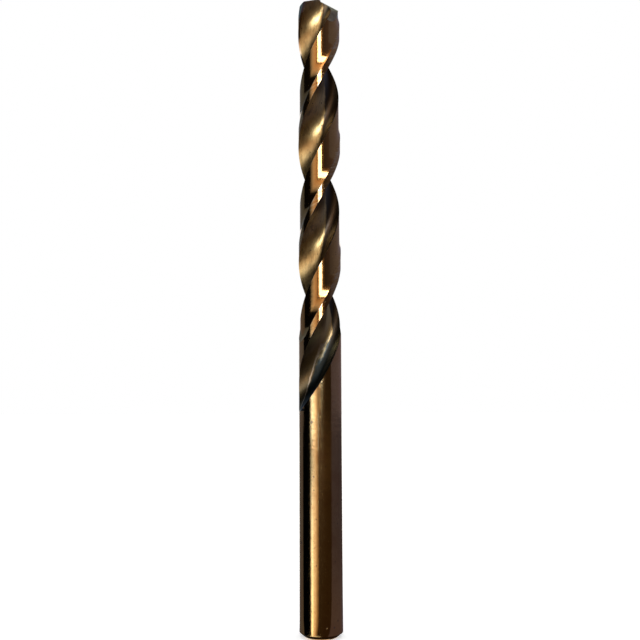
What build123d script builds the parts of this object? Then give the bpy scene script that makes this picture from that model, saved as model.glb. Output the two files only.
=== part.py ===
from build123d import *

import os
from math import acos, asin, cos, degrees, pi, radians, sin, sqrt, tan

# Twist drill bit: straight shank, jobber length, two right-hand flutes and a 135 degree split point.
#
# The whole bit is one ground bar of high-speed steel. It stands on the flat end of its shank: the origin
# is the middle of that end, +Z runs up the axis to the point, and -Y faces the front. Millimetres and
# degrees. A turn is an angle round the axis, anticlockwise when seen from the point.

# ---- driving dimensions ----------------------------------------------------------------------------
overall_length = 109.0
point_diameter = 7.3            # over the margins, at the outer corners
shank_diameter = 7.2            # the body tapers back to it, so that only the corners touch the hole
shank_top = 33.0                # height where the plain shank ends and the back taper begins

shank_chamfer_radial = 1.0
shank_chamfer_axial = 0.8

helix_angle = 29.5              # right hand
lip_azimuth = -47.4             # turn of the first outer corner from the front (-Y) towards +X

web_at_point = 1.5              # core thickness between the flutes
web_increase = 0.65             # added to it by the start of the run-out
rake_side_turn = 65.0           # turn from a leading edge to the flute's deepest line: a straight lip
heel_side_turn = 33.0           # turn from that line to the heel
run_out_start = 45.1            # height where the grinding wheel begins to lift
run_out_radius = 13.5           # of the path on which it lifts, seen along the axis

margin_turn = 17.3              # turn taken by each margin, behind its leading edge
clearance_ratio = 0.935         # radius of the relieved land over the full radius
clearance_end = 50.2            # height where the relief stops, at the middle of the land
clearance_rise = 1.6            # height over which it comes up past the full diameter
clearance_top_ratio = 1.02      # radius that it comes up to, over the full radius

point_angle = 135.0
lip_relief_angle = 14.0
gash_turn = 83.0                # turn from a lip's corner to the way the split's faces fall
gash_valley_turn = 62.0         # turn from a lip's corner to the split's valley
gash_slope = 46.0               # of the split's inner face, down from the level
gash_offset = 0.3               # of that face from the axis, at the height of the point
heel_slope = 71.0               # of the steeper face that takes off the heel's corner
heel_offset = 1.72

# ---- worked out from them --------------------------------------------------------------------------
point_radius = point_diameter / 2
shank_radius = shank_diameter / 2
half_web = web_at_point / 2
lip_lead = degrees(asin(half_web / point_radius))   # a corner's turn ahead of its lip's own direction
pitch = pi * point_diameter / tan(radians(helix_angle))
lip_slope = 90 - point_angle / 2
corner_height = overall_length - point_radius * tan(radians(lip_slope))
ramp_turn = degrees(acos(clearance_ratio))          # the straight rise from the relief to the margin

# ---- room left round the cutting shapes ------------------------------------------------------------
bar_top = overall_length + 1
above_point = overall_length + 2
block = 6 * point_radius                # side of the blocks that take off the point
over_cut = 1.08 * point_radius          # radius to which the cutting faces run on
outside = 1.4 * point_radius            # radius at which the cutting shapes close
least_depth = 0.3                       # of a flute cutter that has lifted clear of the bar
least_height = 1.5                      # of its closing side above the core
ramp_run_on = 1.25                      # length of the ramp's cutting face over the ramp's own
overlap_turn = 10.0                     # by which the relief cutter runs into the flute
run_out_overlap = 0.5                   # by which the flute cutter starts below the run-out's end
relief_overlap = 2.0                    # by which the relief cutter starts below its rise
run_out_spacing = 1.2                   # between level sections
relief_spacing = 0.5
body_spacing = 1.8


def touching_arc(turn):
    """Radius of the arc that touches the core and meets the full diameter that far round."""
    reach = point_radius * cos(radians(turn)) - half_web
    return (point_radius**2 + half_web**2 - 2 * point_radius * half_web * cos(radians(turn))) / (2 * reach)


rake_arc = touching_arc(rake_side_turn)
heel_arc = touching_arc(heel_side_turn)
run_out_end = run_out_start - sqrt(2 * run_out_radius * (point_radius - half_web - web_increase / 2))


def azimuth(height):
    """Turn of the first leading edge at a height, from +X."""
    return lip_azimuth - 90 + 360 * (height - corner_height) / pitch


def web_radius(height):
    """Half the web, which thickens evenly down the flute."""
    down_flute = (overall_length - height) / (overall_length - run_out_start)
    return half_web + web_increase / 2 * down_flute


def lift(height):
    """How far the grinding wheel has risen along the run-out."""
    return max(run_out_start - height, 0) ** 2 / (2 * run_out_radius)


def turn_at_radius(radius, core, arc):
    """Turn from a flute's deepest line to where one of its arcs crosses a radius."""
    centre = core + arc
    return degrees(acos((radius**2 + centre**2 - arc**2) / (2 * radius * centre)))


def section_plane(height, turn=0.0):
    """Level plane at a height, its X axis that far round from the leading edge."""
    angle = radians(azimuth(height) + turn)
    return Plane(origin=(0, 0, height), x_dir=(cos(angle), sin(angle), 0), z_dir=(0, 0, 1))


def polar(radius, turn):
    """Point at a radius and a turn from the section's X axis."""
    return Vector(radius * cos(radians(turn)), radius * sin(radians(turn)))


def steps(low, high, spacing):
    """Evenly spaced heights from low to high."""
    count = int((high - low) / spacing) + 1
    return [low + (high - low) * i / count for i in range(count + 1)]


# ---- flute: what the fluting wheel takes away ------------------------------------------------------
# Each level section is two arcs that touch the core on the flute's deepest line, which follows the helix
# so that the rake side ends on the leading edge.
flute_heights = steps(run_out_end - run_out_overlap, run_out_start, run_out_spacing)[:-1]
flute_heights += steps(run_out_start, above_point, body_spacing)

with BuildPart() as flute_cut:
    for height in flute_heights:
        core = web_radius(height) + lift(height)
        reach = max(over_cut, core + least_depth)
        close = max(outside, core + least_height)
        deepest = turn_at_radius(point_radius, web_radius(height), rake_arc)
        rake_end = polar(reach, -turn_at_radius(reach, core, rake_arc))
        heel_end = polar(reach, turn_at_radius(reach, core, heel_arc))
        with BuildSketch(section_plane(height, deepest)):
            with BuildLine():
                TangentArc((core, 0), rake_end, tangent=(0, -1))
                TangentArc((core, 0), heel_end, tangent=(0, 1))
                Polyline(rake_end, (close, -close), (close, close), heel_end)
            make_face()
    loft()

# ---- body clearance: the land ground below the margins ---------------------------------------------
land_start = heel_side_turn + rake_side_turn
ramp_foot = 180 - margin_turn - ramp_turn
land_middle = (land_start + ramp_foot) / 2


def clearance_radius(height, turn):
    """Radius of the relieved land, which comes up square to the helix where the relief stops."""
    stop = clearance_end - radians(turn - land_middle) * point_radius * tan(radians(helix_angle))
    risen = min(max((stop - height) / clearance_rise, 0), 1)
    return point_radius * (clearance_ratio + (clearance_top_ratio - clearance_ratio) * risen)


relief_start = clearance_end - clearance_rise - relief_overlap
relief_heights = steps(relief_start, clearance_end + relief_overlap, relief_spacing)[:-1]
relief_heights += steps(clearance_end + relief_overlap, above_point, body_spacing)
far_side = [
    polar(outside, 180 - overlap_turn),
    polar(outside / cos(radians(land_middle - land_start)), land_middle),
    polar(outside, land_start - overlap_turn),
]

with BuildPart() as relief_cut:
    for height in relief_heights:
        heel_side = polar(clearance_radius(height, land_start), land_start - overlap_turn)
        middle = polar(clearance_radius(height, land_middle), land_middle - overlap_turn / 2)
        foot = polar(clearance_radius(height, ramp_foot), ramp_foot)
        run_on = foot + (polar(point_radius, 180 - margin_turn) - foot) * ramp_run_on
        with BuildSketch(section_plane(height)):
            with BuildLine():
                ThreePointArc(heel_side, middle, foot)
                Line(foot, run_on)
                Polyline(run_on, *far_side, heel_side)
            make_face()
    loft()


# ---- point: the planes of its two flanks and of the split ------------------------------------------
def level_direction(turn):
    """Level unit vector at a turn from the front towards +X."""
    return Vector(sin(radians(turn)), -cos(radians(turn)), 0)


def flank_plane(half_turn):
    """Flank behind one lip: it falls outwards along the lip, and backwards from it by the relief."""
    along = level_direction(lip_azimuth - lip_lead + half_turn)
    ahead = Vector(0, 0, 1).cross(along)
    normal = along * tan(radians(lip_slope)) - ahead * tan(radians(lip_relief_angle)) + Vector(0, 0, 1)
    return Plane(origin=(0, 0, overall_length), x_dir=ahead.cross(normal), z_dir=normal)


def split_plane(half_turn, slope, offset):
    """Face of the split ahead of one lip, with its X axis down the valley and Y away from the wall."""
    falling = level_direction(lip_azimuth + gash_turn + half_turn)
    valley = level_direction(lip_azimuth + gash_valley_turn + half_turn)
    normal = falling * tan(radians(slope)) + Vector(0, 0, 1)
    down_valley = valley - Vector(0, 0, 1) * (normal.dot(valley))
    return Plane(origin=falling * offset + Vector(0, 0, overall_length), x_dir=down_valley, z_dir=normal)


# ---- the bit ---------------------------------------------------------------------------------------
with BuildPart() as drill_bit:
    with BuildSketch(Plane.XZ):
        with BuildLine():
            Polyline(
                (0, 0),
                (shank_radius - shank_chamfer_radial, 0),
                (shank_radius, shank_chamfer_axial),
                (shank_radius, shank_top),
                (point_radius, bar_top),
                (0, bar_top),
                close=True,
            )
        make_face()
    revolve(axis=Axis.Z)

    for cut in (flute_cut, relief_cut):
        for half_turn in (0, 180):
            add(cut.part, rotation=(0, 0, half_turn), mode=Mode.SUBTRACT)
    for half_turn in (0, 180):
        with Locations(flank_plane(half_turn)):
            Box(block, block, block, align=(Align.CENTER, Align.CENTER, Align.MIN), mode=Mode.SUBTRACT)
    for half_turn in (0, 180):
        with Locations(split_plane(half_turn, gash_slope, gash_offset)):
            Box(block, block, block, align=(Align.CENTER, Align.MIN, Align.MIN), mode=Mode.SUBTRACT)
    for half_turn in (0, 180):
        with Locations(split_plane(half_turn, heel_slope, heel_offset)):
            Box(block, block, block, align=(Align.CENTER, Align.CENTER, Align.MIN), mode=Mode.SUBTRACT)

drill_bit.part.label = "drill_bit"
os.makedirs("parts", exist_ok=True)
export_step(drill_bit.part, "parts/drill_bit.step")
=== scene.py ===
"""Twist drill bit: one ground bar of high-speed steel with a bronze oxide skin, standing on its shank end."""

import bmesh
import bpy
import numpy as np
from mathutils import Matrix, Vector


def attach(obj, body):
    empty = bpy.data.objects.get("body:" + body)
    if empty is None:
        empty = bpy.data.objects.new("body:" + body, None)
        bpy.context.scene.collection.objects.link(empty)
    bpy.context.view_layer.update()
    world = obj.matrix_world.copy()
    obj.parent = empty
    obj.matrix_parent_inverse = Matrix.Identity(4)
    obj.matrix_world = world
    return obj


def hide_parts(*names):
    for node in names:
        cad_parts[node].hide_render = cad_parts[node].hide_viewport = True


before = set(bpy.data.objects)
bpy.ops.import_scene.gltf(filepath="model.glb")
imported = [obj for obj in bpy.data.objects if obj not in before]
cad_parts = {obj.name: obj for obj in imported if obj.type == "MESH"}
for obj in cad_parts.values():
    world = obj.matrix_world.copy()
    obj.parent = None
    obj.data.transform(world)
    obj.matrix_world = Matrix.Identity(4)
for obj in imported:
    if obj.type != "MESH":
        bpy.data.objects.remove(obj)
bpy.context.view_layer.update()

# ---- the bar ---------------------------------------------------------------------------------------
# One rod of high-speed steel, ground between centres to a plain shank, then fluted, relieved behind its
# two margins and backed off slightly in diameter from the point down. Sizes are in metres, angles in radians.
LENGTH = 0.109
POINT_RADIUS = 0.00365
SHANK_RADIUS = 0.0036
SHANK_TOP = 0.033
CHAMFER_IN = 0.001
CHAMFER_UP = 0.0008
HELIX = np.radians(29.5)
PITCH = 2 * np.pi * POINT_RADIUS / np.tan(HELIX)
LIP = np.radians(-47.4)
POINT_SLOPE = np.tan(np.radians(22.5))
CORNER_HEIGHT = LENGTH - POINT_RADIUS * POINT_SLOPE
HALF_WEB = 0.00075
WEB_RISE = 0.000325
RAKE_TURN = np.radians(65.0)
HEEL_TURN = np.radians(33.0)
RUN_OUT_TOP = 0.0451
RUN_OUT_RADIUS = 0.0135
MARGIN_TURN = np.radians(17.3)
RELIEF = 0.935
RELIEF_TOP = 1.02
RELIEF_END = 0.0502
RELIEF_RISE = 0.0016


def bar_radius(z):
    """Radius of the bar before fluting: even on the shank, then opening in a straight taper to the point."""
    taper = np.clip((z - SHANK_TOP) / (LENGTH - SHANK_TOP), 0, None)
    return SHANK_RADIUS + (POINT_RADIUS - SHANK_RADIUS) * taper


def web_radius(z):
    """Half the web between the flutes, which thickens evenly from the point down."""
    return HALF_WEB + WEB_RISE * (LENGTH - z) / (LENGTH - RUN_OUT_TOP)


def floor_radius(z):
    """Radius of a flute's deepest line: the web, plus the parabola on which the wheel lifts at the run-out."""
    lift = np.maximum(RUN_OUT_TOP - z, 0) ** 2 / (2 * RUN_OUT_RADIUS)
    return np.minimum(web_radius(z) + lift, bar_radius(z))


def touching_arc(turn):
    """Radius of the circle that touches the web and crosses the full radius at that turn from it."""
    c = np.cos(turn)
    return (POINT_RADIUS**2 + HALF_WEB**2 - 2 * POINT_RADIUS * HALF_WEB * c) / (2 * (POINT_RADIUS * c - HALF_WEB))


RAKE_ARC = touching_arc(RAKE_TURN)
HEEL_ARC = touching_arc(HEEL_TURN)


def crossing(radius, low, arc):
    """Turn from the deepest line at which a flute arc that starts at radius low reaches a radius (cosine rule)."""
    centre = low + arc
    return np.arccos(np.clip((radius**2 + centre**2 - arc**2) / (2 * radius * centre), -1, 1))


def on_arc(radius, low, arc, side, t):
    """Radius and turn along a flute arc, t from 0 at the deepest line to 1 at that radius; side is -1 or +1."""
    centre = low + arc
    turn = crossing(radius, low, arc)
    sweep = np.arctan2(radius * np.sin(turn), centre - radius * np.cos(turn)) * t
    x, y = centre - arc * np.cos(sweep), arc * np.sin(sweep)
    return np.hypot(x, y), side * np.arctan2(y, x)


RAMP_FOOT = np.pi - MARGIN_TURN - np.arccos(RELIEF)
LAND_START = RAKE_TURN + HEEL_TURN
LAND_MIDDLE = (LAND_START + RAMP_FOOT) / 2
SKEW = POINT_RADIUS * np.tan(HELIX)


def relief_radius(z, turn):
    """Radius of the relieved land: even, then rising in a straight slope, square to the helix, where it stops."""
    stop = RELIEF_END - (turn - LAND_MIDDLE) * SKEW
    risen = np.clip((stop - z) / RELIEF_RISE, 0, 1)
    return np.minimum(POINT_RADIUS * (RELIEF + (RELIEF_TOP - RELIEF) * risen), bar_radius(z))


def half_section(z, t):
    """Radius and turn of half a level section, from one leading edge to the other, for a column of heights z
    and a row t of 0 to 5: each unit of t is one face of the form, which are the rake arc, the heel arc, the
    relieved land, the straight ramp and the margin."""
    low, bar = floor_radius(z), bar_radius(z)
    deep = crossing(POINT_RADIUS, web_radius(z), RAKE_ARC)
    rake_r, rake_a = on_arc(bar, low, RAKE_ARC, -1, np.clip(1 - t, 0, 1))
    heel_edge = relief_radius(z, LAND_START)
    heel_r, heel_a = on_arc(np.maximum(heel_edge, low), low, HEEL_ARC, 1, np.clip(t - 1, 0, 1))
    heel_turn = deep + crossing(np.maximum(heel_edge, low), low, HEEL_ARC)
    land_a = heel_turn + (RAMP_FOOT - heel_turn) * np.clip(t - 2, 0, 1)
    land_r = relief_radius(z, land_a)
    foot_r = relief_radius(z, RAMP_FOOT)
    ramp = np.arccos(np.clip(foot_r / bar, 0, 1)) * np.clip(t - 3, 0, 1)
    ramp_r = foot_r / np.cos(ramp)
    ramp_top = RAMP_FOOT + np.arccos(np.clip(foot_r / bar, 0, 1))
    next_edge = np.pi + deep - crossing(bar, low, RAKE_ARC)
    margin_a = ramp_top + (next_edge - ramp_top) * np.clip(t - 4, 0, 1)
    faces = [np.broadcast_to(t <= last, land_a.shape) for last in (1, 2, 3, 4)]
    radius = np.select(faces, [rake_r, heel_r, land_r, ramp_r], bar + 0 * t)
    turn = np.select(faces, [deep + rake_a, deep + heel_a, land_a, RAMP_FOOT + ramp], margin_a)
    return radius, turn


def lead(z):
    """Turn of the first leading edge at a height, from the front (-Y) towards +X: the right-hand helix."""
    return LIP + 2 * np.pi * (z - CORNER_HEIGHT) / PITCH


# Steps across the rake arc, the heel arc, the land, the ramp and the margin.
columns = np.concatenate([np.linspace(i, i + 1, n, endpoint=False) for i, n in enumerate((26, 22, 20, 6, 20))])
# The flute begins where its floor first dips under the bar, and the relief stops where its slope meets the bar.
LEAST_DIP = 1e-7
NEAR_RELIEF_END = 0.0492
heights = np.linspace(0.030, 0.042, 4000)
run_out_low = heights[np.argmax(floor_radius(heights) < bar_radius(heights) - LEAST_DIP)]
rise_to_bar = (bar_radius(NEAR_RELIEF_END) / POINT_RADIUS - RELIEF) / (RELIEF_TOP - RELIEF)
meets_bar = RELIEF_END - RELIEF_RISE * rise_to_bar
# Rows of the fluted body, closest at the run-out and at the stop of the relief.
RUN_OUT_MIDDLE = 0.0400
TIP_START = 0.1035
body_rows = np.concatenate([
    np.linspace(run_out_low, RUN_OUT_MIDDLE, 22, endpoint=False),
    np.linspace(RUN_OUT_MIDDLE, meets_bar, 32, endpoint=False),
    np.linspace(meets_bar, RELIEF_END, 6, endpoint=False),
    np.linspace(RELIEF_END, TIP_START, 190),
])
# Rows lean fully within LEAN_FULL of a level LEAN_CENTRE below the relief's stop, and less over LEAN_FADE.
LEAN_CENTRE = 0.0005
LEAN_FULL = 0.00055
LEAN_FADE = 0.003


def fluted_grid(z_rows):
    """Points of the fluted body: a column of heights by both halves' turns. Near the stop of the relief each row
    leans along the land to follow it, by a share that falls off as a bell curve."""
    z = z_rows[:, None]
    from_stop = z - RELIEF_END + LEAN_CENTRE
    near = np.where(np.abs(from_stop) < LEAN_FULL, 1, np.exp(-((from_stop / LEAN_FADE) ** 2)))
    turn = half_section(z, columns[None, :])[1]
    lean = np.interp(columns, [0, 1, 2, 3, 4, 5], [0, 0, 1, -1, -1, 0])[None, :]
    on_land = (columns >= 2) & (columns <= 3)
    shift = np.where(on_land[None, :], -(turn - LAND_MIDDLE), lean * (RAMP_FOOT - LAND_START) / 2) * SKEW * near
    tall = np.maximum(z + shift, run_out_low)
    radius, turn = half_section(tall, columns[None, :])
    both = []
    for half in (0, np.pi):
        a = lead(tall) + turn + half
        both.append(np.stack([radius * np.sin(a), -radius * np.cos(a), tall + 0 * a], -1))
    return np.concatenate(both, 1)


def ring(z, radius):
    """One level ring of the plain shank, its points under the columns of the fluted body."""
    turn = half_section(np.array([[run_out_low]]), columns[None, :])[1][0]
    a = lead(run_out_low) + np.concatenate([turn, turn + np.pi])
    return np.stack([radius * np.sin(a), -radius * np.cos(a), z + 0 * a], -1)[None]


shank_rings = [(0.0, SHANK_RADIUS - CHAMFER_IN), (CHAMFER_UP, SHANK_RADIUS)]
shank_rings += [(z, SHANK_RADIUS) for z in np.linspace(CHAMFER_UP, SHANK_TOP, 24)[1:]]
shank_rings += [(z, bar_radius(z)) for z in np.linspace(SHANK_TOP, run_out_low, 5)[1:-1]]
grid = np.concatenate([ring(z, r) for z, r in shank_rings] + [fluted_grid(body_rows)])


def joined_rings(name, points, low_end, high_end):
    """Mesh of a grid of rings, each joined to the next and to itself, with a flat face over the ends asked."""
    count, around = points.shape[:2]
    index = np.arange(count * around).reshape(count, around)
    right = np.roll(index, -1, 1)
    faces = np.stack([index[:-1], right[:-1], right[1:], index[1:]], -1).reshape(-1, 4).tolist()
    faces += [index[0, ::-1].tolist()] * low_end + [index[-1].tolist()] * high_end
    mesh = bpy.data.meshes.new(name)
    mesh.from_pydata(points.reshape(-1, 3).tolist(), [], faces)
    return mesh


drill = bpy.data.objects.new("drill", joined_rings("drill", grid, True, False))
bpy.context.scene.collection.objects.link(drill)

# ---- the point -------------------------------------------------------------------------------------
# Two flanks ground at 135 degrees, then split: a face ahead of each lip thins the chisel edge and a steeper
# one takes off the heel's corner. Each cut is a flat-sided block taken out of the end of the bar.
LIP_LEAD = np.arcsin(HALF_WEB / POINT_RADIUS)
LIP_RELIEF = np.radians(14)
GASH_SLOPE, GASH_OFFSET = np.radians(46), 0.0003
HEEL_SLOPE, HEEL_OFFSET = np.radians(71), 0.00172
GASH_TURN = np.radians(83)
GASH_VALLEY = np.radians(62)
BLOCK = 0.012
TIP_SPARE = 0.0008
SMOOTH_BELOW = np.radians(9)
WELD, SLIVER = 2e-7, 1e-8


def level(turn):
    """Level unit vector at a turn from the front towards +X."""
    return np.array([np.sin(turn), -np.cos(turn), 0.0])


def block(origin, x_dir, normal, y_from):
    """Mesh of a large block that stands on a plane: wide along x, from y_from along y, up along the normal."""
    n = normal / np.linalg.norm(normal)
    x = x_dir / np.linalg.norm(x_dir)
    y = np.cross(n, x)
    corners = [origin + sx * BLOCK * x + sy * y + sz * BLOCK * n
               for sz in (0, 1) for sy in (y_from, BLOCK) for sx in (-1, 1)]
    mesh = bpy.data.meshes.new("block")
    mesh.from_pydata([tuple(c) for c in corners], [],
                     [(0, 2, 3, 1), (4, 5, 7, 6), (0, 1, 5, 4), (2, 6, 7, 3), (0, 4, 6, 2), (1, 3, 7, 5)])
    return mesh


up = np.array([0.0, 0.0, 1.0])
blocks = []
for half in (0, np.pi):
    along = level(LIP - LIP_LEAD + half)
    ahead = np.cross(up, along)
    normal = along * POINT_SLOPE - ahead * np.tan(LIP_RELIEF) + up
    blocks.append(block(up * LENGTH, np.cross(ahead, normal), normal, -BLOCK))
    falling, valley = level(LIP + GASH_TURN + half), level(LIP + GASH_VALLEY + half)
    for slope, offset, y_from in ((GASH_SLOPE, GASH_OFFSET, 0.0), (HEEL_SLOPE, HEEL_OFFSET, -BLOCK)):
        normal = falling * np.tan(slope) + up
        blocks.append(block(falling * offset + up * LENGTH, valley - up * (normal @ valley), normal, y_from))

tip_rows = np.linspace(TIP_START, LENGTH + TIP_SPARE, 40)
tip = bpy.data.objects.new("tip", joined_rings("tip", fluted_grid(tip_rows), True, True))
bpy.context.scene.collection.objects.link(tip)
for mesh in blocks:
    tool = bpy.data.objects.new("block", mesh)
    bpy.context.scene.collection.objects.link(tool)
    cut = tip.modifiers.new("cut", "BOOLEAN")
    cut.operation, cut.solver, cut.object = "DIFFERENCE", "EXACT", tool
    graph = bpy.context.evaluated_depsgraph_get()
    cut_mesh = bpy.data.meshes.new_from_object(tip.evaluated_get(graph))
    tip.modifiers.clear()
    tip.data = cut_mesh
    bpy.data.objects.remove(tool)

solid = bmesh.new()
solid.from_mesh(tip.data)
tip_floor = [f for f in solid.faces if all(v.co.z < TIP_START + SLIVER for v in f.verts)]
bmesh.ops.delete(solid, geom=tip_floor, context="FACES")
solid.from_mesh(drill.data)
bmesh.ops.remove_doubles(solid, verts=solid.verts, dist=WELD)
bmesh.ops.dissolve_degenerate(solid, edges=solid.edges, dist=SLIVER)
for edge in solid.edges:
    if len(edge.link_faces) == 2:
        edge.smooth = bool(edge.calc_face_angle(0) < SMOOTH_BELOW)
for face in solid.faces:
    face.smooth = True
solid.to_mesh(drill.data)
solid.free()
bpy.data.objects.remove(tip)

# ---- the oxide skin --------------------------------------------------------------------------------
# Ground high-speed steel, steamed or tempered until a straw-to-bronze oxide covers it. The wheels leave
# it brightest on the shank and lands and softer in the flutes, where the film darkens along each heel and is
# painted darker still as shade and dark reflection.
mesh = drill.data
# A face counts as ground by a block when it lies on one of the block's planes and faces as that does.
ON_PLANE, ALONG_PLANE = 1e-7, 0.9999
HEEL_OVERHANG = 0.3
UNDER_LAND = 3e-6


def turn_behind_edge(points):
    """Turn of points behind the leading edge before them, from 0 to half a turn, the helix unwound."""
    z = np.clip(points[:, 2], run_out_low, None)
    return np.mod(np.arctan2(points[:, 0], -points[:, 1]) - lead(z), np.pi)


def flute_stops(z):
    """Turns at which a flute begins, runs deepest and ends on the heel, and its radii there, at heights z."""
    z = np.clip(z, run_out_low, None)
    deep, low = crossing(POINT_RADIUS, web_radius(z), RAKE_ARC), floor_radius(z)
    heel = np.maximum(relief_radius(z, LAND_START), low)
    start, stop = deep - crossing(bar_radius(z), low, RAKE_ARC), deep + crossing(heel, low, HEEL_ARC)
    return start, deep, stop, low, heel


def read(owner, field, size):
    """Numpy array of one field of a mesh collection."""
    values = np.empty(len(owner) * size)
    owner.foreach_get(field, values)
    return values.reshape(-1, size) if size > 1 else values.astype(int)


centres, normals = read(mesh.polygons, "center", 3), read(mesh.polygons, "normal", 3)
ground = np.zeros(len(centres), bool)
for cutter in blocks:
    for side in cutter.polygons:
        facing, spot = np.array(side.normal), np.array(cutter.vertices[side.vertices[0]].co)
        ground |= (np.abs((centres - spot) @ facing) < ON_PLANE) & (np.abs(normals @ facing) > ALONG_PLANE)

# The turn of each face's middle is wrapped to its own flute, and its corners follow it, so no face is torn.
# The heel hangs over a little, so past its edge the flute's faces are told from the land by their radius.
middle_turn = turn_behind_edge(centres)
start, deep, stop, low, heel = flute_stops(centres[:, 2])
middle_turn = np.where(middle_turn > start + np.pi, middle_turn - np.pi, middle_turn)
land = relief_radius(centres[:, 2], np.maximum(middle_turn, LAND_START))
out = np.hypot(centres[:, 0], centres[:, 1])
fluted = (middle_turn > start) & (middle_turn < stop + HEEL_OVERHANG) & (centres[:, 2] > run_out_low) & (
    out < np.where(middle_turn < stop, bar_radius(centres[:, 2]), land) - UNDER_LAND)
corners = read(mesh.vertices, "co", 3)[read(mesh.loops, "vertex_index", 1)]
owner = np.repeat(np.arange(len(centres)), read(mesh.polygons, "loop_total", 1))
step = np.mod(turn_behind_edge(corners) - middle_turn[owner] + np.pi / 2, np.pi) - np.pi / 2
corner_turn, out = middle_turn[owner] + step, np.hypot(corners[:, 0], corners[:, 1])
start, deep, stop, low, heel = flute_stops(corners[:, 2])
unwound = np.stack([corner_turn * POINT_RADIUS, corners[:, 2], out], -1)
NO_DEPTH = 1e-5
past_deep = np.sign(corner_turn - deep) * (out - low) / (heel - low + NO_DEPTH)
edges = np.stack([np.where(fluted[owner], 1, corner_turn - start), corner_turn - start - np.pi,
                  np.where(fluted[owner], 1, corner_turn - stop), corner_turn - (np.pi - MARGIN_TURN)])
FAR_FROM_EDGES = 1.0
from_edge = np.where(corners[:, 2] > run_out_low, np.abs(edges).min(axis=0) * POINT_RADIUS, FAR_FROM_EDGES)
mesh.attributes.new("unwound", "FLOAT_VECTOR", "CORNER").data.foreach_set("vector", unwound.ravel())
mesh.attributes.new("past_deep", "FLOAT", "CORNER").data.foreach_set("value", past_deep)
mesh.attributes.new("from_edge", "FLOAT", "CORNER").data.foreach_set("value", from_edge)


def noise(tree, vector, scale, detail=2.0, roughness=0.5):
    """Noise texture read at a vector socket; the scale is in lumps per unit of it."""
    node = tree.nodes.new("ShaderNodeTexNoise")
    node.inputs["Scale"].default_value = scale
    node.inputs["Detail"].default_value = detail
    node.inputs["Roughness"].default_value = roughness
    tree.links.new(vector, node.inputs["Vector"])
    return node.outputs["Fac"]


def remap(tree, value, low, high, to_low, to_high, smooth=False):
    """Value carried from one range to another and held inside it."""
    node = tree.nodes.new("ShaderNodeMapRange")
    node.interpolation_type = "SMOOTHSTEP" if smooth else "LINEAR"
    for label, number in (("From Min", low), ("From Max", high), ("To Min", to_low), ("To Max", to_high)):
        node.inputs[label].default_value = number
    tree.links.new(value, node.inputs["Value"])
    return node.outputs["Result"]


def maths(tree, operation, first, second):
    """Two values, sockets or plain numbers, joined by a maths node."""
    node = tree.nodes.new("ShaderNodeMath")
    node.operation = operation
    for value, socket in ((first, node.inputs[0]), (second, node.inputs[1])):
        if isinstance(value, bpy.types.NodeSocket):
            tree.links.new(value, socket)
        else:
            socket.default_value = value
    return node.outputs[0]


def blend(tree, amount, first, second):
    """Colour mixed from two colours, sockets or plain, by an amount socket."""
    node = tree.nodes.new("ShaderNodeMix")
    node.data_type = "RGBA"
    tree.links.new(amount, node.inputs["Factor"])
    for colour, label in ((first, "A"), (second, "B")):
        socket = next(s for s in node.inputs if s.name == label and s.type == "RGBA")
        if isinstance(colour, bpy.types.NodeSocket):
            tree.links.new(colour, socket)
        else:
            socket.default_value = (*colour, 1)
    return next(s for s in node.outputs if s.type == "RGBA")


def stretched(tree, vector, scale):
    """Vector socket stretched by a scale along each axis."""
    node = tree.nodes.new("ShaderNodeMapping")
    node.inputs["Scale"].default_value = scale
    tree.links.new(vector, node.inputs["Vector"])
    return node.outputs["Vector"]


def split(tree, vector):
    """Sockets of a vector's three parts, X, Y and Z."""
    node = tree.nodes.new("ShaderNodeSeparateXYZ")
    tree.links.new(vector, node.inputs["Vector"])
    return node.outputs


def group(name, inputs, outputs):
    """Empty shader node group with named inputs and outputs; also its two end nodes."""
    tree = bpy.data.node_groups.new(name, "ShaderNodeTree")
    for label, kind, value in inputs:
        socket = tree.interface.new_socket(label, in_out="INPUT", socket_type=kind)
        if value is not None:
            socket.default_value = value
    for label, kind in outputs:
        tree.interface.new_socket(label, in_out="OUTPUT", socket_type=kind)
    return tree, tree.nodes.new("NodeGroupInput").outputs, tree.nodes.new("NodeGroupOutput").inputs


# Oxide film: clouds a few millimetres long, with finer blotches and a fine grain over them, in two tones.
film, film_in, film_out = group(
    "oxide_film",
    (("Vector", "NodeSocketVector", None), ("Main", "NodeSocketColor", (0.7, 0.4, 0.15, 1)),
     ("Deep", "NodeSocketColor", (0.5, 0.2, 0.08, 1)), ("Amount", "NodeSocketFloat", 0.6)),
    (("Color", "NodeSocketColor"),))
cloud = remap(film, noise(film, film_in["Vector"], 220, 3, 0.6), 0.42, 0.68, 0, 1, smooth=True)
blotch = remap(film, noise(film, film_in["Vector"], 1700, 3, 0.65), 0.5, 0.72, 0, 0.6)
grain = remap(film, noise(film, film_in["Vector"], 6500, 2, 0.6), 0.45, 0.75, 0, 0.7)
tarnish = maths(film, "MULTIPLY", maths(film, "MAXIMUM", cloud, blotch), film_in["Amount"])
tarnish = maths(film, "MAXIMUM", tarnish, grain)
film.links.new(blend(film, tarnish, film_in["Main"], film_in["Deep"]), film_out["Color"])

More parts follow.
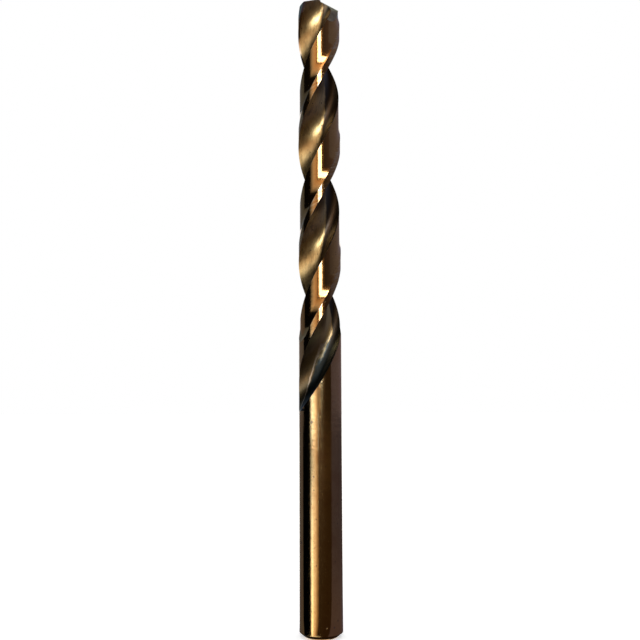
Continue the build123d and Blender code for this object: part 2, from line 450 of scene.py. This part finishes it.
# Pits: scattered specks where scale broke away, a tenth or two of a millimetre across. Share is the
# part of the cells that hold one.
pits, pits_in, pits_out = group(
    "pits", (("Vector", "NodeSocketVector", None), ("Share", "NodeSocketFloat", 0.2)),
    (("Mask", "NodeSocketFloat"),))
cells = pits.nodes.new("ShaderNodeTexVoronoi")
cells.inputs["Scale"].default_value = 2600
pits.links.new(pits_in["Vector"], cells.inputs["Vector"])
pick = pits.nodes.new("ShaderNodeSeparateColor")
pits.links.new(cells.outputs["Color"], pick.inputs["Color"])
chosen = maths(pits, "LESS_THAN", pick.outputs["Red"], pits_in["Share"])
size = remap(pits, pick.outputs["Green"], 0, 1, 0.10, 0.30)
dot = maths(pits, "LESS_THAN", cells.outputs["Distance"], size)
pits.links.new(maths(pits, "MULTIPLY", chosen, dot), pits_out["Mask"])

# Wheel lines: fine scratches of two widths that run where the vector is stretched least.
lines, lines_in, lines_out = group("wheel_lines", (("Vector", "NodeSocketVector", None),),
                                   (("Height", "NodeSocketFloat"),))
coarse, fine = noise(lines, lines_in["Vector"], 1, 2, 0.5), noise(lines, lines_in["Vector"], 3.7, 2, 0.6)
lines.links.new(maths(lines, "ADD", maths(lines, "MULTIPLY", coarse, 0.6), maths(lines, "MULTIPLY", fine, 0.4)),
                lines_out["Height"])

# Nick: a small dent with a ragged rim, of a given size about a place.
nick, nick_in, nick_out = group(
    "nick", (("Vector", "NodeSocketVector", None), ("Place", "NodeSocketVector", None),
             ("Size", "NodeSocketFloat", 0.0002)), (("Mask", "NodeSocketFloat"),))
away = nick.nodes.new("ShaderNodeVectorMath")
away.operation = "DISTANCE"
nick.links.new(nick_in["Vector"], away.inputs[0])
nick.links.new(nick_in["Place"], away.inputs[1])
ragged = remap(nick, noise(nick, nick_in["Vector"], 5000, 2), 0.3, 0.7, 0.6, 1.5)
reach = maths(nick, "DIVIDE", maths(nick, "MULTIPLY", away.outputs["Value"], ragged), nick_in["Size"])
nick.links.new(remap(nick, reach, 0.6, 1.0, 1, 0, smooth=True), nick_out["Mask"])

# Wheel chatter: ripples under a millimetre apart on a swell of three, which make long reflections waver.
chatter, chatter_in, chatter_out = group(
    "chatter", (("Vector", "NodeSocketVector", None),), (("Height", "NodeSocketFloat"),))
ripple = maths(chatter, "MULTIPLY", noise(chatter, chatter_in["Vector"], 1600, 2, 0.5), 0.35)
swell = noise(chatter, chatter_in["Vector"], 350, 1, 0.4)
chatter.links.new(maths(chatter, "ADD", ripple, swell), chatter_out["Height"])


def use(tree, made, **values):
    """Group node in a tree; sockets given are linked and plain values set on its inputs."""
    node = tree.nodes.new("ShaderNodeGroup")
    node.node_tree = made
    for label, value in values.items():
        if isinstance(value, bpy.types.NodeSocket):
            tree.links.new(value, node.inputs[label])
        else:
            node.inputs[label].default_value = (*value, 1) if node.inputs[label].type == "RGBA" else value
    return node.outputs


def metal(name):
    """Metal material, its tree, its surface node, and its object coordinates."""
    made = bpy.data.materials.new(name)
    made.use_nodes = True
    surface = made.node_tree.nodes["Principled BSDF"]
    surface.inputs["Metallic"].default_value = 1.0
    return made, made.node_tree, surface.inputs, made.node_tree.nodes.new("ShaderNodeTexCoord").outputs["Object"]


def reading(tree, name, output):
    """Socket that reads one of the mesh's attributes."""
    node = tree.nodes.new("ShaderNodeAttribute")
    node.attribute_name = name
    return node.outputs[output]


def bump(tree, surface, height, depth):
    """Raises a height socket by a depth in metres and gives its normal to the surface."""
    node = tree.nodes.new("ShaderNodeBump")
    node.inputs["Distance"].default_value = depth
    tree.links.new(height, node.inputs["Height"])
    tree.links.new(node.outputs["Normal"], surface["Normal"])


# Shank and lands: ground round the bar. The film is yellow on the upper shank, redder towards both ends.
# Its edges are worn pale, and along each margin a stone has left slanting strokes.
GROUND_FROM = (0.10535, 0.10550)
MARGIN_FROM = (2.45 * POINT_RADIUS, 2.75 * POINT_RADIUS)
# Place and size of each nick.
NICKS = (((-0.0032, -0.0017, 0.0154), 0.00030), ((-0.0015, -0.0033, 0.0351), 0.00028),
         ((0.0009, -0.0035, 0.0022), 0.00016), ((0.0021, -0.0029, 0.0021), 0.00020),
         ((-0.0012, -0.0034, 0.0262), 0.00016), ((0.0011, 0.0034, 0.0214), 0.00030))
land_skin, tree, surface, where = metal("land_oxide")
level_at = split(tree, where)["Z"]
height = maths(tree, "ADD", level_at, remap(tree, noise(tree, where, 300, 3), 0.3, 0.7, -0.003, 0.003))
foot = remap(tree, height, 0.004, 0.027, 1, 0)
fluted_end = remap(tree, height, 0.044, 0.054, 0, 1)
shank_tone = blend(tree, foot, (0.78, 0.62, 0.32), (0.74, 0.50, 0.19))
main_tone = blend(tree, fluted_end, shank_tone, (0.70, 0.41, 0.14))
skin = use(tree, film, Vector=where, Main=main_tone, Deep=(0.50, 0.24, 0.08), Amount=0.45)

unwound_parts = split(tree, reading(tree, "unwound", "Vector"))
slanted = tree.nodes.new("ShaderNodeCombineXYZ")
tree.links.new(maths(tree, "SUBTRACT", unwound_parts["Y"], maths(tree, "MULTIPLY", unwound_parts["X"], 0.5)),
               slanted.inputs["Z"])
tree.links.new(maths(tree, "MULTIPLY", unwound_parts["X"], 0.12), slanted.inputs["X"])
on_margin = maths(tree, "MULTIPLY", fluted_end, remap(tree, unwound_parts["X"], *MARGIN_FROM, 0, 1))
hatch = maths(tree, "MULTIPLY", noise(tree, slanted.outputs["Vector"], 3600, 1, 0.4), on_margin)
ragged_edge = remap(tree, noise(tree, where, 3000, 2), 0.35, 0.65, -0.00004, 0.00004)
worn = remap(tree, maths(tree, "ADD", reading(tree, "from_edge", "Fac"), ragged_edge), 0.00002, 0.00007, 1, 0)
specks = use(tree, pits, Vector=where, Share=0.06)["Mask"]
dents = 0.0
for place, size in NICKS:
    dents = maths(tree, "MAXIMUM", use(tree, nick, Vector=where, Place=place, Size=size)["Mask"], dents)

shaded = blend(tree, specks, skin["Color"], (0.22, 0.13, 0.07))
shaded = blend(tree, maths(tree, "MULTIPLY", dents, 0.7), shaded, (0.30, 0.24, 0.19))
shaded = blend(tree, remap(tree, level_at, *GROUND_FROM, 0, 1), shaded, (0.62, 0.68, 0.54))
shaded = blend(tree, remap(tree, hatch, 0.50, 0.62, 0, 0.4), shaded, (0.95, 0.80, 0.55))
tree.links.new(blend(tree, worn, shaded, (0.62, 0.50, 0.36)), surface["Base Color"])

round_lines = use(tree, lines, Vector=stretched(tree, where, (300, 300, 3600)))["Height"]
rough = remap(tree, round_lines, 0.3, 0.7, 0.085, 0.15)
tree.links.new(maths(tree, "ADD", rough, maths(tree, "MULTIPLY", specks, 0.1)), surface["Roughness"])
relief = maths(tree, "SUBTRACT", round_lines, maths(tree, "MULTIPLY", specks, 1.2))
relief = maths(tree, "SUBTRACT", relief, maths(tree, "MULTIPLY", dents, 8.0))
relief = maths(tree, "ADD", relief, maths(tree, "MULTIPLY", hatch, 2.5))
waver = maths(tree, "MULTIPLY", use(tree, chatter, Vector=where)["Height"], 11)
bump(tree, surface, maths(tree, "ADD", relief, waver), 2.2e-6)
surface["Coat Weight"].default_value = 0.4
surface["Coat Roughness"].default_value = 0.1

# Flutes: ground along the helix by a softer wheel. The film darkens along each heel and is painted much darker as
# shade and dark reflection. Towards the run-out the flute is painted dark, and the heel is painted blue-black as
# dark reflection, below a painted highlight along the crease. Over the turn above that, the painted heel shade is
# held back and the bronze runs on into the heel.
flute_skin, tree, surface, where = metal("flute_oxide")
unwound_at = reading(tree, "unwound", "Vector")
past = maths(tree, "ADD", reading(tree, "past_deep", "Fac"),
             remap(tree, noise(tree, where, 900, 3), 0.3, 0.7, -0.03, 0.03))
level_at = split(tree, where)["Z"]
run_out = remap(tree, level_at, 0.042, 0.057, 1, 0, smooth=True)
last_turn = remap(tree, level_at, 0.0410, 0.0490, 1, 0, smooth=True)
# Over the turn above the run-out, the painted heel shade is held back and the bronze colour is put back.
shade_held_back = maths(tree, "MULTIPLY", remap(tree, level_at, 0.0475, 0.0505, 0, 1, smooth=True),
                   remap(tree, level_at, 0.0555, 0.0600, 1, 0, smooth=True))
into_heel = maths(tree, "ADD", past, maths(tree, "MULTIPLY", last_turn, 0.25))
into_heel = maths(tree, "SUBTRACT", into_heel, maths(tree, "MULTIPLY", shade_held_back, 0.35))
# Painted shade: along each heel the darker oxide is painted near black, for the shade and dark reflection in the
# flute.
heel_film_and_shade = remap(tree, into_heel, 0.0, 0.13, 0, 1, smooth=True)
# Painted highlight: a pale line along the crease at the run-out.
crease_highlight = maths(tree, "MULTIPLY", remap(tree, into_heel, -0.07, -0.02, 0, 1), remap(tree, into_heel, 0.0, 0.04, 1, 0))
crease_highlight = maths(tree, "MULTIPLY", run_out, crease_highlight)
mottle = remap(tree, noise(tree, stretched(tree, unwound_at, (1, 0.45, 1)), 1500, 3, 0.65), 0.48, 0.66, 0, 0.55)
kept_bronze = maths(tree, "MULTIPLY", shade_held_back, remap(tree, past, -0.15, 0.0, 0, 1, smooth=True))
# Painted dark reflection: the ground-off flute faces at the point are coloured near black for the dark they mirror.
tip_painted_dark = maths(tree, "MULTIPLY", remap(tree, level_at, *GROUND_FROM, 0, 1), remap(tree, past, 0.13, 0.19, 0, 1))

skin = use(tree, film, Vector=where, Main=(0.77, 0.59, 0.27), Deep=(0.46, 0.28, 0.11), Amount=0.7)
shaded = blend(tree, use(tree, pits, Vector=where, Share=0.05)["Mask"], skin["Color"], (0.12, 0.08, 0.05))
# Painted shade: towards the run-out the flute is coloured dark for the dark it reflects there.
shaded = blend(tree, maths(tree, "MULTIPLY", run_out, 0.88), shaded, (0.10, 0.09, 0.06))
shaded = blend(tree, mottle, shaded, (0.27, 0.20, 0.09))
shaded = blend(tree, kept_bronze, shaded, (0.62, 0.46, 0.20))
shaded = blend(tree, crease_highlight, shaded, (0.62, 0.56, 0.45))
# Painted shade tones for the heel: near-black brown, turning blue-black at the run-out as a painted dark reflection.
heel_shade_tone = blend(tree, run_out, (0.038, 0.028, 0.019), (0.022, 0.034, 0.038))
filmed = blend(tree, heel_film_and_shade, shaded, heel_shade_tone)
tree.links.new(blend(tree, tip_painted_dark, filmed, (0.12, 0.11, 0.08)), surface["Base Color"])

along_flute = use(tree, lines, Vector=stretched(tree, unwound_at, (9000, 420, 420)))["Height"]
tree.links.new(remap(tree, along_flute, 0.3, 0.7, 0.28, 0.36), surface["Roughness"])
waver = maths(tree, "MULTIPLY", use(tree, chatter, Vector=where)["Height"], 14)
bump(tree, surface, maths(tree, "ADD", along_flute, waver), 1.5e-6)
surface["Coat Weight"].default_value = 0.3
surface["Coat Roughness"].default_value = 0.25

# Point: ground last, straight across each face, and left bare.
bare_skin, tree, surface, where = metal("bare_point")
across_face = use(tree, lines, Vector=stretched(tree, where, (1500, 9000, 1500)))["Height"]
tree.links.new(blend(tree, remap(tree, noise(tree, where, 900, 3), 0.35, 0.65, 0, 1),
                     (0.70, 0.76, 0.62), (0.50, 0.54, 0.45)), surface["Base Color"])
surface["Specular Tint"].default_value = (0.30, 0.30, 0.27, 1)
tree.links.new(remap(tree, across_face, 0.3, 0.7, 0.28, 0.42), surface["Roughness"])
bump(tree, surface, across_face, 2e-6)

LAND_SLOT, FLUTE_SLOT, BARE_SLOT = 0, 1, 2
mesh.materials.clear()
for skin in (land_skin, flute_skin, bare_skin):
    mesh.materials.append(skin)
slots = np.where(ground, BARE_SLOT, np.where(fluted, FLUTE_SLOT, LAND_SLOT))
mesh.polygons.foreach_set("material_index", slots.astype(np.int32))
mesh.update()
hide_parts("drill_bit")
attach(drill, "root")

# ---- the table and the light -----------------------------------------------------------------------
# A white table in a white room. One tall soft lamp stands behind the camera. Pale and dark cards, far off
# and on the table, are seen by nothing but polished metal: they draw its long stripes, as in any studio.
FAR = 3.0
CARD_STEPS = 31
JUST_ABOVE_TABLE = 0.0001
# Cards on the table are centred on the side of the shank that mirrors the brightest of them.
SHANK_FRONT_LEFT = (-0.0015, -0.0033, 0)
ROOM_TURNS, ROOM_BROWN, BROWN_LOSS = (-54, -14, 20), (0, 0.85, 1), (0, 0.45, 0.76)
studio_card = bpy.data.materials.new("studio_card")
studio_card.use_nodes = True
card_tree = studio_card.node_tree
card_tree.nodes.clear()
glow = card_tree.nodes.new("ShaderNodeEmission")
card_end = card_tree.nodes.new("ShaderNodeOutputMaterial")
bounces = card_tree.nodes.new("ShaderNodeLightPath").outputs["Diffuse Depth"]
first_seen = maths(card_tree, "LESS_THAN", bounces, 0.5)
card_tree.links.new(reading(card_tree, "shade", "Color"), glow.inputs["Color"])
card_tree.links.new(first_seen, glow.inputs["Strength"])
card_tree.links.new(glow.outputs[0], card_end.inputs["Surface"])


def card(name, turns, rows, lying=False, distance=FAR, tint=None, height=None):
    """Card bent round the bit between two turns, in degrees from the front. Each row is its shades from one side
    to the other: at an elevation in degrees for a standing card, or at a distance in metres for one that lies
    on the table or has a height. Unless it has a tint, it goes from white on the left to brown by the lamp."""
    around = np.linspace(*turns, CARD_STEPS)
    turn, places = np.radians(around), np.array(list(rows))
    height = JUST_ABOVE_TABLE if lying else height
    reach = np.full(len(places), distance) if height is None else places
    up = distance * np.tan(np.radians(places)) if height is None else np.full(len(places), height)
    points = np.stack([reach[:, None] * np.sin(turn), -reach[:, None] * np.cos(turn), up[:, None] + 0 * turn], -1)
    points += np.array(SHANK_FRONT_LEFT) * lying
    start = (np.arange(len(places) - 1)[:, None] * CARD_STEPS + np.arange(CARD_STEPS - 1)).ravel()
    sheet = bpy.data.meshes.new(name)
    sheet.from_pydata(points.reshape(-1, 3).tolist(), [],
                      np.stack([start, start + 1, start + CARD_STEPS + 1, start + CARD_STEPS], -1).tolist())
    share = np.linspace(0, 1, CARD_STEPS)
    shade = np.array([np.interp(share, np.linspace(0, 1, len(row)), row) for row in rows.values()])
    brown = np.interp(around, ROOM_TURNS, ROOM_BROWN)[:, None]
    tint = 1 - brown * BROWN_LOSS if tint is None else np.array(tint) + 0 * brown
    colour = np.concatenate([shade[..., None] * tint, 1 + 0 * shade[..., None]], -1)
    sheet.attributes.new("shade", "FLOAT_COLOR", "POINT").data.foreach_set("color", colour.ravel())
    sheet.materials.append(studio_card)
    piece = bpy.data.objects.new(name, sheet)
    bpy.context.scene.collection.objects.link(piece)
    piece.visible_camera = piece.visible_diffuse = piece.visible_shadow = False


card("wall_left", (-54, -14), {-1: (1.0, 2.0, 1.6, 1.0, 0.25), 3: (0.7, 1.2, 1.1, 0.9, 0.4),
                               10: (0.02, 0.25, 0.6, 0.55, 0.4), 41: (0.1, 0.5, 0.7, 0.95, 1.0)})
card("low_board", (-53, -14), {0.2: (1, 2.8, 2.5, 2.1, 1.2, 0.25), 2.4: (1, 2.8, 2.5, 2.1, 1.2, 0.25)},
     distance=1.2)
card("wall_black", (-100, -54), {-1: (0, 0), 50: (0.01, 0.01)})
card("wall_gap", (-14, -8), {-1: (0.15, 0.08), 4: (0.3, 0.25), 8: (0.12, 0.1), 50: (0.3, 0.3)})
card("lamp_foot", (-8, -1), {-1: (0.06, 0.08, 0.04), 1.5: (0.12, 0.6, 0.08), 6: (0.3, 2.0, 0.2)})
card("lamp_trim", (-9, -3.5), {4: (0.4, 0.5), 10: (0.5, 0.6), 13: (0.5, 0.6)}, distance=0.8 * FAR)
card("wall_front", (-1, 12), {-1: (0.03, 0.03), 6: (0.1, 0.06)})
card("wall_front_right", (12, 26), {-1: (0.04, 0.03), 4: (0.06, 0.04), 8: (0.18, 0.04), 40: (0.2, 0.08)})
card("wall_right", (26, 60), {-1: (0.025, 0.02), 8: (0.02, 0.03)}, tint=(1, 0.55, 0.25))
card("wall_right_top", (26, 60), {8: (0.02, 0.05), 22: (0.035, 0.07), 50: (0.1, 0.12)}, tint=(1, 0.8, 0.9))
card("wall_right_low", (60, 160), {-1: (0.09, 0.10, 0.13), 7: (0.07, 0.10, 0.14)}, tint=(1, 0.78, 1.1))
card("wall_right_high", (60, 160), {7: (0.05, 0.11, 0.15), 24: (0.1, 0.13, 0.16), 50: (0.12, 0.14, 0.16)},
     tint=(1, 1.0, 1.45))
card("wall_left_low", (-160, -100), {-1: (0.14, 0.09), 8: (0.14, 0.09)}, tint=(1, 0.9, 1.0))
card("wall_left_high", (-160, -100), {8: (0.12, 0.07), 20: (0.16, 0.08), 26: (0.08, 0.07), 50: (0.05, 0.04)},
     tint=(1, 1.25, 1.65))
card("ceiling_front", (-54, 45), {41: (0.6, 2.2, 2.6, 0.4, 0.1), 60: (0.5, 1.4, 1.6, 0.5, 0.1),
                                  85: (0.2, 0.3, 0.3, 0.2, 0.1)})
card("ceiling_right", (45, 160), {50: (0.08, 0.08), 85: (0.08, 0.08)})
card("ceiling_left", (-160, -54), {50: (0.05, 0.05), 85: (0.05, 0.05)})
card("table_left", (-58, -10), {0.003: (0.2, 2.7, 1.2, 0.95, 0.4, 0.06), 0.2: (0.1, 1.7, 1.35, 1.2, 0.65, 0.12),
                                0.4: (0.03, 0.5, 0.8, 0.85, 0.5, 0.1), 1.2: (0.02, 0.3, 0.7, 0.8, 0.5, 0.1)},
     lying=True)
card("table_front", (-10, 60), {0.003: (0.03, 0.03), 0.25: (0.05, 0.03), 0.42: (0.08, 0.05),
                                0.9: (0.08, 0.05), 1.2: (0.04, 0.03), 3: (0.04, 0.03)}, lying=True)
card("table_right", (60, 160), {0.003: (0.09, 0.09), 0.1: (0.06, 0.05), 3: (0.04, 0.04)}, lying=True,
     tint=(1, 0.78, 1.1))
card("table_black", (-110, -58), {0.003: (0, 0), 3: (0, 0)}, lying=True)
# Painted shade: a dark disc just above the table round the foot, seen only in the metal, stands in for the shadow
# under the rim.
card("rim_shadow_disc", (-180, 180), {0.0004: (0.02, 0.02), 0.0042: (0.02, 0.02)}, height=0.0002)
card("table_back_left", (-160, -110), {0.003: (0.09, 0.09), 3: (0.09, 0.09)}, lying=True, tint=(1, 0.9, 1.0))

LAMP_SHADE = 5.2
LAMP_DISTANCE = 0.98 * FAR
lamp = bpy.data.lights.new("soft_lamp", "AREA")
lamp.shape = "RECTANGLE"
lamp_turns, lamp_rises = np.radians((-7, 12)), np.radians((6, 41))
lamp.size = 2 * FAR * np.tan((lamp_turns[1] - lamp_turns[0]) / 2)
lamp.size_y = FAR * (np.tan(lamp_rises[1]) - np.tan(lamp_rises[0]))
lamp.energy = np.pi * lamp.size * lamp.size_y * LAMP_SHADE
lamp_piece = bpy.data.objects.new("soft_lamp", lamp)
lamp_turn = lamp_turns.mean()
lamp_piece.location = (LAMP_DISTANCE * np.sin(lamp_turn), -LAMP_DISTANCE * np.cos(lamp_turn),
                       LAMP_DISTANCE * np.tan(lamp_rises).mean())
lamp_piece.rotation_euler = (np.pi / 2, 0, lamp_turn)
bpy.context.scene.collection.objects.link(lamp_piece)

TABLE_REACH = 9
TABLE_GLOW = 0.45
ROOM_LIGHT, ROOM_SEEN = 0.7, 1.0
pale = bpy.data.materials.new("pale_table")
pale.use_nodes = True
pale_tree = pale.node_tree
pale_top = pale_tree.nodes["Principled BSDF"].inputs
pale_top["Base Color"].default_value = (0.9, 0.9, 0.9, 1)
pale_top["Roughness"].default_value = 0.9
pale_top["Specular IOR Level"].default_value = 0.0
pale_top["Emission Color"].default_value = (1, 1, 1, 1)


def seen(tree):
    """1 for the rays that show a background: from the camera, off metal or through glass."""
    path = tree.nodes.new("ShaderNodeLightPath").outputs
    shiny = maths(tree, "MAXIMUM", path["Is Glossy Ray"], path["Is Transmission Ray"])
    return maths(tree, "MAXIMUM", path["Is Camera Ray"], shiny)


pale_tree.links.new(maths(pale_tree, "MULTIPLY", seen(pale_tree), TABLE_GLOW), pale_top["Emission Strength"])
table = bpy.data.meshes.new("table")
table.from_pydata([(x * TABLE_REACH, y * TABLE_REACH, 0) for x, y in ((-1, -1), (1, -1), (1, 1), (-1, 1))], [],
                  [(0, 1, 2, 3)])
table.materials.append(pale)
table_top = bpy.data.objects.new("table", table)
bpy.context.scene.collection.objects.link(table_top)

world = bpy.data.worlds.new("room")
bpy.context.scene.world = world
world.use_nodes = True
world.node_tree.nodes["Background"].inputs["Color"].default_value = (1, 1, 1, 1)
world.node_tree.links.new(remap(world.node_tree, seen(world.node_tree), 0, 1, ROOM_LIGHT, ROOM_SEEN),
                          world.node_tree.nodes["Background"].inputs["Strength"])

# ---- the camera ------------------------------------------------------------------------------------
# Below the middle of the bit, 14 cm from it, looking up by five degrees and rolled by a quarter of one.
PLACE = (0, -0.14288, 0.03701)
TILT, ROLL = 0.0956, np.radians(0.243)
camera = bpy.data.objects.new("camera", bpy.data.cameras.new("camera"))
bpy.context.scene.collection.objects.link(camera)
ahead = Vector((0, np.cos(TILT), np.sin(TILT)))
upward = Vector((0, -np.sin(TILT), np.cos(TILT)))
right = Vector((1, 0, 0))
axes = Matrix((right * np.cos(ROLL) - upward * np.sin(ROLL), right * np.sin(ROLL) + upward * np.cos(ROLL), -ahead))
camera.matrix_world = Matrix.Translation(PLACE) @ axes.transposed().to_4x4()
camera.data.lens = 47.40
camera.data.sensor_width = 36
camera.data.shift_x = -0.000125
camera.data.shift_y = 0.0150
camera.data.clip_start = 0.01
bpy.context.scene.camera = camera
bpy.context.scene.view_settings.view_transform = "Standard"
